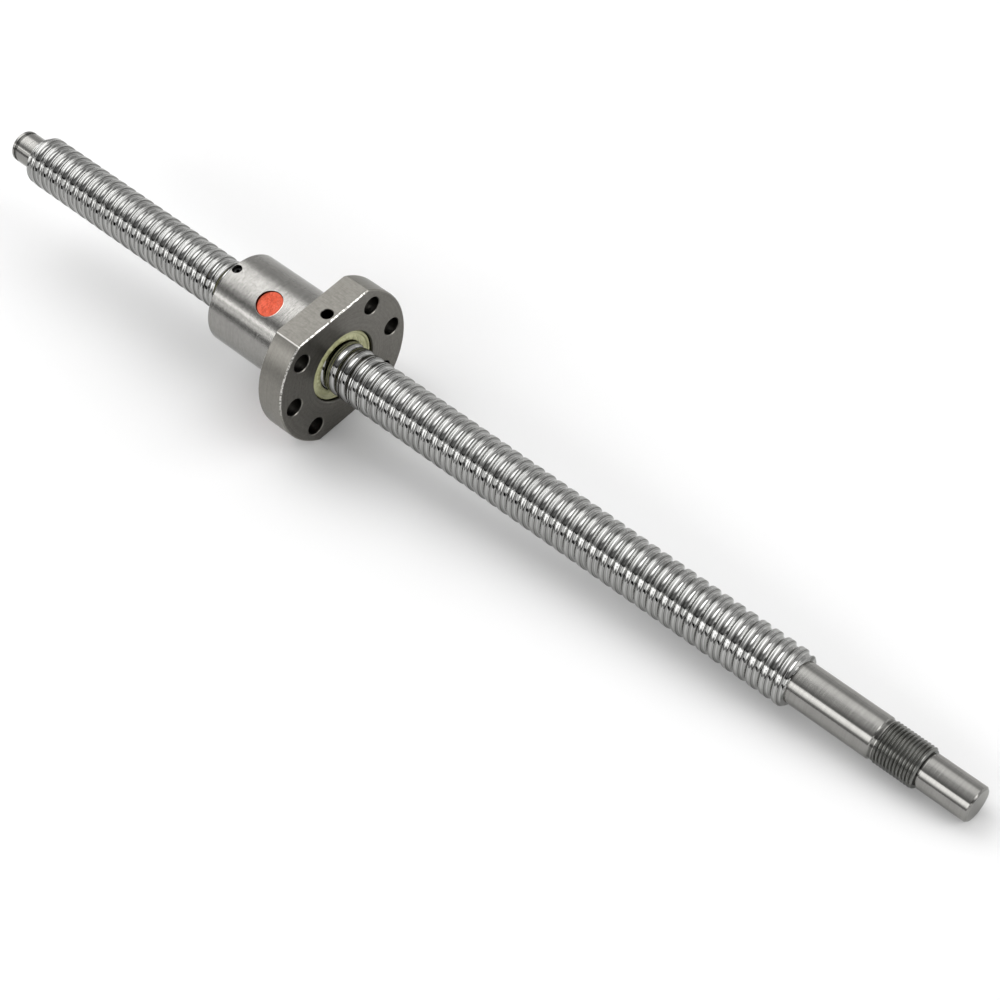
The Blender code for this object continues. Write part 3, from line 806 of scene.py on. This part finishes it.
def bore_cutter():
    """The threaded bore and both wiper seats as one solid."""
    low, high = NUT_X0 + SEAT_DEPTH, NUT_X1 - SEAT_DEPTH
    inputs = thread_inputs(low, high, GROOVE_X, LEAD, NUT_STEPS, 16, 0.3, SEAT_HOLE_R, {
        "Groove radius": GROOVE_R, "Arch shift": ARCH_SHIFT, "Ball circle radius": BALL_CIRCLE_R,
        "Land radius": NUT_LAND_R})
    tree = thread_tree("nut_bore", inputs, bore_radius)
    parts = [grown(empty_object("bore_cutter"), tree, inputs, NUT_STEEL)]
    wide = SEAT_HOLE_R + SEAT_FLARE
    for bottom, face, way in ((low, NUT_X0, -1), (high, NUT_X1, 1)):
        parts.append(turned("seat_part", [
            (bottom, SEAT_HOLE_R), (face - way * SEAT_FLARE, SEAT_HOLE_R), (face, wide),
            (face + way * PAST, wide), (face + way * PAST, 0.0)], NUT_STEPS))
    ob = one_object(parts)
    weld(ob.data, 1e-6)
    return ob


def hole_cutter(start, axis, low, radius, top, sides, rim_len=0.0, rim_wide=0.0):
    """A straight cutter from low to past top along the axis, with a chamfered rim at the top if it has one."""
    wide = radius + rim_wide
    rim = [(top - rim_len, radius), (top, wide)] if rim_wide else []
    return turned_along("hole_cutter", start, axis, [
        (low, 0.0), (low, radius), *rim, (top + PAST, wide), (top + PAST, 0.0)], sides)


def bolt_cutter(angle):
    """A bolt hole through the flange with a chamfered rim at each face."""
    wide = BOLT_HOLE_R + BOLT_RIM
    return turned_along("bolt_cutter", on_axis(0.0, BOLT_CIRCLE_R, angle), (1, 0, 0), [
        (FLANGE_X0 - PAST, 0.0), (FLANGE_X0 - PAST, wide), (FLANGE_X0, wide),
        (FLANGE_X0 + BOLT_RIM, BOLT_HOLE_R), (NUT_X1 - BOLT_RIM, BOLT_HOLE_R), (NUT_X1, wide),
        (NUT_X1 + PAST, wide), (NUT_X1 + PAST, 0.0)], 48)


def hole_cutters():
    """Bolt holes, the oil hole, the set screw's hole, the notch beside the front wiper and the pockets."""
    cutters = [bolt_cutter(math.radians(side + step)) for side in (0.0, 180.0) for step in (-45.0, 0.0, 45.0)]
    inside = SEAT_HOLE_R - PAST
    cutters.append(hole_cutter(
        (OIL_HOLE_X, 0, 0), (0, 0, 1), inside, OIL_HOLE_R, FLAT_Z, 40, OIL_RIM, OIL_RIM))
    cutters.append(hole_cutter(
        (SCREW_X, 0, 0), on_axis(0.0, 1.0, SCREW_ANGLE), inside, SCREW_HOLE_R, BODY_R, 36, SCREW_RIM_LEN,
        SCREW_RIM))
    cutters.append(hole_cutter(
        on_axis(0.0, SEAT_HOLE_R, NOTCH_ANGLE), (1, 0, 0), NUT_X1 - WIPER_SINK, NOTCH_R, NUT_X1, 32))
    for x, a in returns():
        low = BALL_CIRCLE_R - POCKET_R / 2
        cutters.append(hole_cutter((x, 0, 0), on_axis(0.0, 1.0, a), low, POCKET_R, BODY_R, 64))
    return cutters


def nut_body():
    """Cylinder and flange, cut to the flats by a bar, with finely bevelled edges, then bored."""
    c, f = BODY_CHAMFER, FLANGE_CHAMFER
    ob = turned("nut_shell", [
        (NUT_X0, 0.0), (NUT_X0, BODY_R - c), (NUT_X0 + c, BODY_R), (FLANGE_X0, BODY_R),
        (FLANGE_X0, FLANGE_R - f), (FLANGE_X0 + f, FLANGE_R), (NUT_X1 - f, FLANGE_R),
        (NUT_X1, FLANGE_R - f), (NUT_X1, 0.0)], sides=192)
    bar = [(NUT_X0 - PAST, FLAT_Z), (NUT_X1 - f, FLAT_Z), (NUT_X1 + PAST, FLAT_Z - f - PAST),
           (NUT_X1 + PAST, PAST + f - FLAT_Z), (NUT_X1 - f, -FLAT_Z), (NUT_X0 - PAST, -FLAT_Z)]
    wide = FLANGE_R + PAST
    verts = [Vector((x, y, z)) for y in (-wide, wide) for x, z in bar]
    n = len(bar)
    faces = [tuple(range(n)), tuple(range(n, 2 * n))]
    faces += [(k, (k + 1) % n, n + (k + 1) % n, n + k) for k in range(n)]
    combine(ob, mesh_object("bar_cutter", verts, faces), 'INTERSECT')
    bm = bmesh.new()
    bm.from_mesh(ob.data)
    bmesh.ops.remove_doubles(bm, verts=bm.verts, dist=1e-6)
    sharp = [e for e in bm.edges if len(e.link_faces) == 2 and e.calc_face_angle(0.0) > math.radians(30.0)]
    bmesh.ops.bevel(bm, geom=sharp, offset=EDGE_BEVEL, segments=2, profile=0.5, affect='EDGES')
    bm.to_mesh(ob.data)
    bm.free()
    combine(ob, bore_cutter(), 'DIFFERENCE')
    combine(ob, one_object(hole_cutters()), 'DIFFERENCE')
    return dress(smooth(ob, 28.0), NUT_STEEL, "nut", "nut_steel", "nut_body")


def wiper(name, node, face, way):
    """A ring with a raised outer rim, a shallow dish and a thin lip at the shaft.

    It goes inwards from the face. way is 1 or -1, the direction along X towards the nut's middle."""
    lip = WIPER_BORE_R + WIPER_LIP_W
    dish = lip + 0.0006
    loop = [(0.00012, WIPER_BORE_R), (0.00012, lip), (0.00035, dish), (0.00035, WIPER_R - 0.0010),
            (0.0, WIPER_R - 0.0007), (0.0, WIPER_R - 0.00025), (0.00025, WIPER_R), (WIPER_LEN, WIPER_R),
            (WIPER_LEN, dish), (0.0009, dish), (0.0009, WIPER_BORE_R)]
    loop = rounded([loop[-1]] + loop + [loop[0]], 0.00012)[1:-1]
    ob = turned(name, [(face + way * x, r) for x, r in loop], sides=128)
    return dress(smooth(ob, 40.0), WIPER_PLASTIC, "wipers", "wiper_plastic", node)


def wiper_screw():
    """The set screw, sunk in its hole, with a hexagon socket."""
    out = on_axis(0.0, 1.0, SCREW_ANGLE)
    top = BODY_R - SCREW_SINK
    low = top - SCREW_LEN
    ob = turned_along("set_screw", (SCREW_X, 0, 0), out, [(low, 0.0)] + rounded([
        (low, 0.0004), (low, SCREW_R), (top - 0.0001, SCREW_R), (top, SCREW_R - 0.0001),
        (top, 0.0004)], FINE_ROUND) + [(top, 0.0)], 40)
    socket = hole_cutter((SCREW_X, 0, 0), out, top - SOCKET_DEPTH, SOCKET_R, top, 6)
    combine(ob, socket, 'DIFFERENCE')
    return dress(smooth(ob, 35.0), SCREW_BLACK, "nut", "black_steel", "rear_wiper_screw")


def cap(k, x, a):
    """A disc with a rounded rim, a little dished."""
    low, top = CAP_TOP - CAP_LEN, CAP_TOP
    profile = rounded([
        (low, 0.001), (low, CAP_R), (top, CAP_R), (top, CAP_R - 0.0006), (top - CAP_DISH, 0.001)], CAP_ROUND, 5)
    ob = turned_along(f"red_disc_{k}", (x, 0, 0), on_axis(0.0, 1.0, a),
                      [(low, 0.0)] + profile + [(top - CAP_DISH, 0.0)], 96)
    return dress(smooth(ob, 40.0), CAP_RED, "nut", "cap_plastic", f"deflector_cap_{k}")


# Balls

def circuit_point(x, angle, t):
    """A point of a circuit's closed path: t runs 0 to 1 along the groove and 1 to 2 back over the land."""
    if t <= 1.0:
        a = CROSSING_HALF + (math.tau - 2 * CROSSING_HALF) * t
        return on_axis(x - LEAD / 2 + LEAD * a / math.tau, BALL_CIRCLE_R, angle + a)
    u = t - 1.0
    a = math.tau - CROSSING_HALF + 2 * CROSSING_HALF * u
    back = LEAD * (3 * u * u - 2 * u ** 3)
    r = BALL_CIRCLE_R + LIFT * math.sin(math.pi * u)
    return on_axis(x - LEAD / 2 + LEAD * a / math.tau - back, r, angle + a)


def ball_tree(inputs):
    """Balls at even steps along a closed path."""
    tree, given = geometry_tree("ball_circuit", inputs)
    path = add(tree, 'GeometryNodeMeshToCurve', {0: given["Geometry"]})
    even = add(tree, 'GeometryNodeResampleCurve', {"Curve": path, "Count": given["Balls"]})
    ball = add(tree, 'GeometryNodeMeshIcoSphere', {"Radius": given["Ball radius"], "Subdivisions": 4})
    ball = add(tree, 'GeometryNodeSetShadeSmooth', {"Geometry": ball})
    balls = add(tree, 'GeometryNodeInstanceOnPoints', {"Points": even, "Instance": ball})
    end_tree(tree, given, balls)
    return tree


def ball_circuits():
    """Each circuit's round balls, spread along a closed path of short straight steps."""
    inputs = {"Balls": BALLS, "Ball radius": BALL_R - BALL_GAP}
    tree = ball_tree(inputs)
    steps = 320
    edges = [(i, (i + 1) % steps) for i in range(steps)]
    for k, (x, a) in enumerate(returns(), 1):
        points = [circuit_point(x, a, 2 * i / steps) for i in range(steps)]
        ob = mesh_object(f"circuit_{k}_balls", points, [], edges)
        grown(ob, tree, inputs, BALL_STEEL)
        dress(ob, BALL_STEEL, "nut", "ball_steel", *[f"circuit_{k}_balls_{letter}" for letter in "abc"])


ball_thread()
locknut_thread()
journals()
nut_body()
wiper("front_wiper_ring", "front_wiper", NUT_X1 - WIPER_SINK, -1)
wiper("rear_wiper_ring", "rear_wiper", NUT_X0 + WIPER_SINK, 1)
wiper_screw()
for number, (place_x, turn_angle) in enumerate(returns(), 1):
    cap(number, place_x, turn_angle)
    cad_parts[f"deflector_{number}"].material_slots[0].material = DEFLECTOR_STEEL
ball_circuits()


# Floor, light and camera

FLOOR_HALF = 6.0
FLOOR_SLOPE = (FLAT_Z - DRIVE_R) / (SHAFT_X1 - NUT_X1)
FLOOR_TONE = 0.82
FLOOR_WHITE_SHARE = 0.05


def floor():
    """A pale sheet that touches the flange's lower flat at the front and the shaft's right end."""
    corners = [(x * FLOOR_HALF, y * FLOOR_HALF) for x, y in ((-1, -1), (1, -1), (1, 1), (-1, 1))]
    ob = mesh_object("floor", [
        (x, y, -FLAT_Z + FLOOR_SLOPE * (x - NUT_X1)) for x, y in corners], [(0, 1, 2, 3)])
    mat, tree = new_material("floor_white")
    paths = tree.nodes.new('ShaderNodeLightPath')
    seen = Value(tree, paths.outputs["Is Camera Ray"]) + Value(tree, paths.outputs["Is Glossy Ray"]) \
        + Value(tree, paths.outputs["Is Transmission Ray"])
    diffuse = add(tree, 'ShaderNodeBsdfDiffuse', {"Color": (FLOOR_TONE, FLOOR_TONE, FLOOR_TONE)})
    white = add(tree, 'ShaderNodeEmission', {"Color": (1.0, 1.0, 1.0), "Strength": 1.0})
    both = add(tree, 'ShaderNodeMixShader', {
        0: seen.clamp() * FLOOR_WHITE_SHARE, 1: diffuse, 2: white})
    end = tree.nodes.new('ShaderNodeOutputMaterial')
    plug(tree, end.inputs["Surface"], both)
    ob.data.materials.append(mat)


# Brightness of the studio's ceiling and walls against the direction round the axis
# (1 is level with the floor on the far side, 0 is overhead, -1 is level on the near side)
ROOM_LEFT = (
    (-1.0, 0.3), (-0.980, 0.3), (-0.965, 2.0), (-0.925, 2.1), (-0.910, 0.8), (-0.885, 0.8), (-0.872, 3.8),
    (-0.825, 3.8), (-0.79, 0.4), (-0.62, 0.6), (-0.52, 0.95), (-0.39, 1.55), (-0.26, 2.05), (-0.10, 2.6),
    (0.05, 3.1), (0.35, 3.0), (0.64, 2.45), (0.73, 1.1), (0.79, 0.75), (0.90, 0.65), (1.0, 0.85))
ROOM_RIGHT = (
    (-1.0, 0.4), (-0.985, 0.4), (-0.965, 1.5), (-0.90, 3.0), (-0.74, 3.0), (-0.69, 0.3), (-0.58, 0.3),
    (-0.30, 0.6), (0.03, 0.8), (0.25, 1.45), (0.45, 1.7), (0.72, 1.6), (0.80, 0.9), (0.90, 0.6), (1.0, 0.85))

# Brightness of the lamps above the shaft's ends, and of what lies below the floor's level
RIGHT_LAMP = 3.6
LEFT_LAMP = 3.7
BELOW = 0.4


def studio():
    """A pale room that fades from one curve to the other along X, and a wide lamp above each shaft end."""
    world = bpy.data.worlds.new("studio")
    world.use_nodes = True
    tree = world.node_tree
    tree.nodes.clear()
    x, y, z = split(tree, add(tree, 'ShaderNodeTexCoord', {}, "Generated"))
    round_axis = y / length(y, z)
    above = z.ramp(-0.02, 0.02)
    left = round_axis.curve(ROOM_LEFT)
    room = left + (round_axis.curve(ROOM_RIGHT) - left) * x.ramp(-0.56, -0.28)
    far_left = 1.0 - x.ramp(-0.65, -0.61)
    room = room * (1.0 + 0.3 * round_axis.band(-0.55, 0.8, 0.1) * far_left)
    inside = x.band(-0.71, 0.08, 0.03)
    lamps = RIGHT_LAMP * x.band(0.45, 0.93, 0.04) * round_axis.ramp(-0.20, 0.30)
    lamps = lamps + LEFT_LAMP * x.band(-0.97, -0.79, 0.03) * round_axis.ramp(-0.52, -0.25)
    lamps = lamps * (1.0 - round_axis.ramp(0.72, 0.80))
    outside = 0.25 * round_axis.ramp(-0.70, -0.50) + 0.5 * round_axis.ramp(0.70, 0.82)
    outside = outside + 1.2 * round_axis.band(-0.96, -0.72, 0.01)
    level = above * (room * inside + lamps + outside * (1.0 - inside)) + BELOW * (1.0 - above)
    paths = tree.nodes.new('ShaderNodeLightPath')
    level = level + Value(tree, paths.outputs["Is Camera Ray"]) * (1.0 - level)
    back = add(tree, 'ShaderNodeBackground', {"Color": joined(tree, level, level, level), "Strength": 1.0})
    end = tree.nodes.new('ShaderNodeOutputWorld')
    plug(tree, end.inputs["Surface"], back)
    bpy.context.scene.world = world


# The camera: millimetres for sensor and lens, and the roll that puts the shaft's ends in place
SENSOR_W = 36.0
LENS = 80.37
CAMERA_PLACE = Vector((0.29501, -0.24048, 0.46709))
CAMERA_AIM = Vector((0.02867, -0.00612, 0.0))
CAMERA_ROLL = math.radians(-7.172)


def camera():
    data = bpy.data.cameras.new("camera")
    data.sensor_width = SENSOR_W
    data.lens = LENS
    data.clip_start = 0.01
    ob = linked("camera", data)
    ahead = (CAMERA_AIM - CAMERA_PLACE).normalized()
    level = ahead.cross(Vector((0, 0, 1))).normalized()
    right = level * math.cos(CAMERA_ROLL) + level.cross(ahead) * math.sin(CAMERA_ROLL)
    up = right.cross(ahead)
    turn = Matrix((right, up, -ahead)).transposed().to_4x4()
    ob.matrix_world = Matrix.Translation(CAMERA_PLACE) @ turn
    bpy.context.scene.camera = ob


floor()
studio()
camera()
bpy.context.scene.view_settings.view_transform = 'Standard'
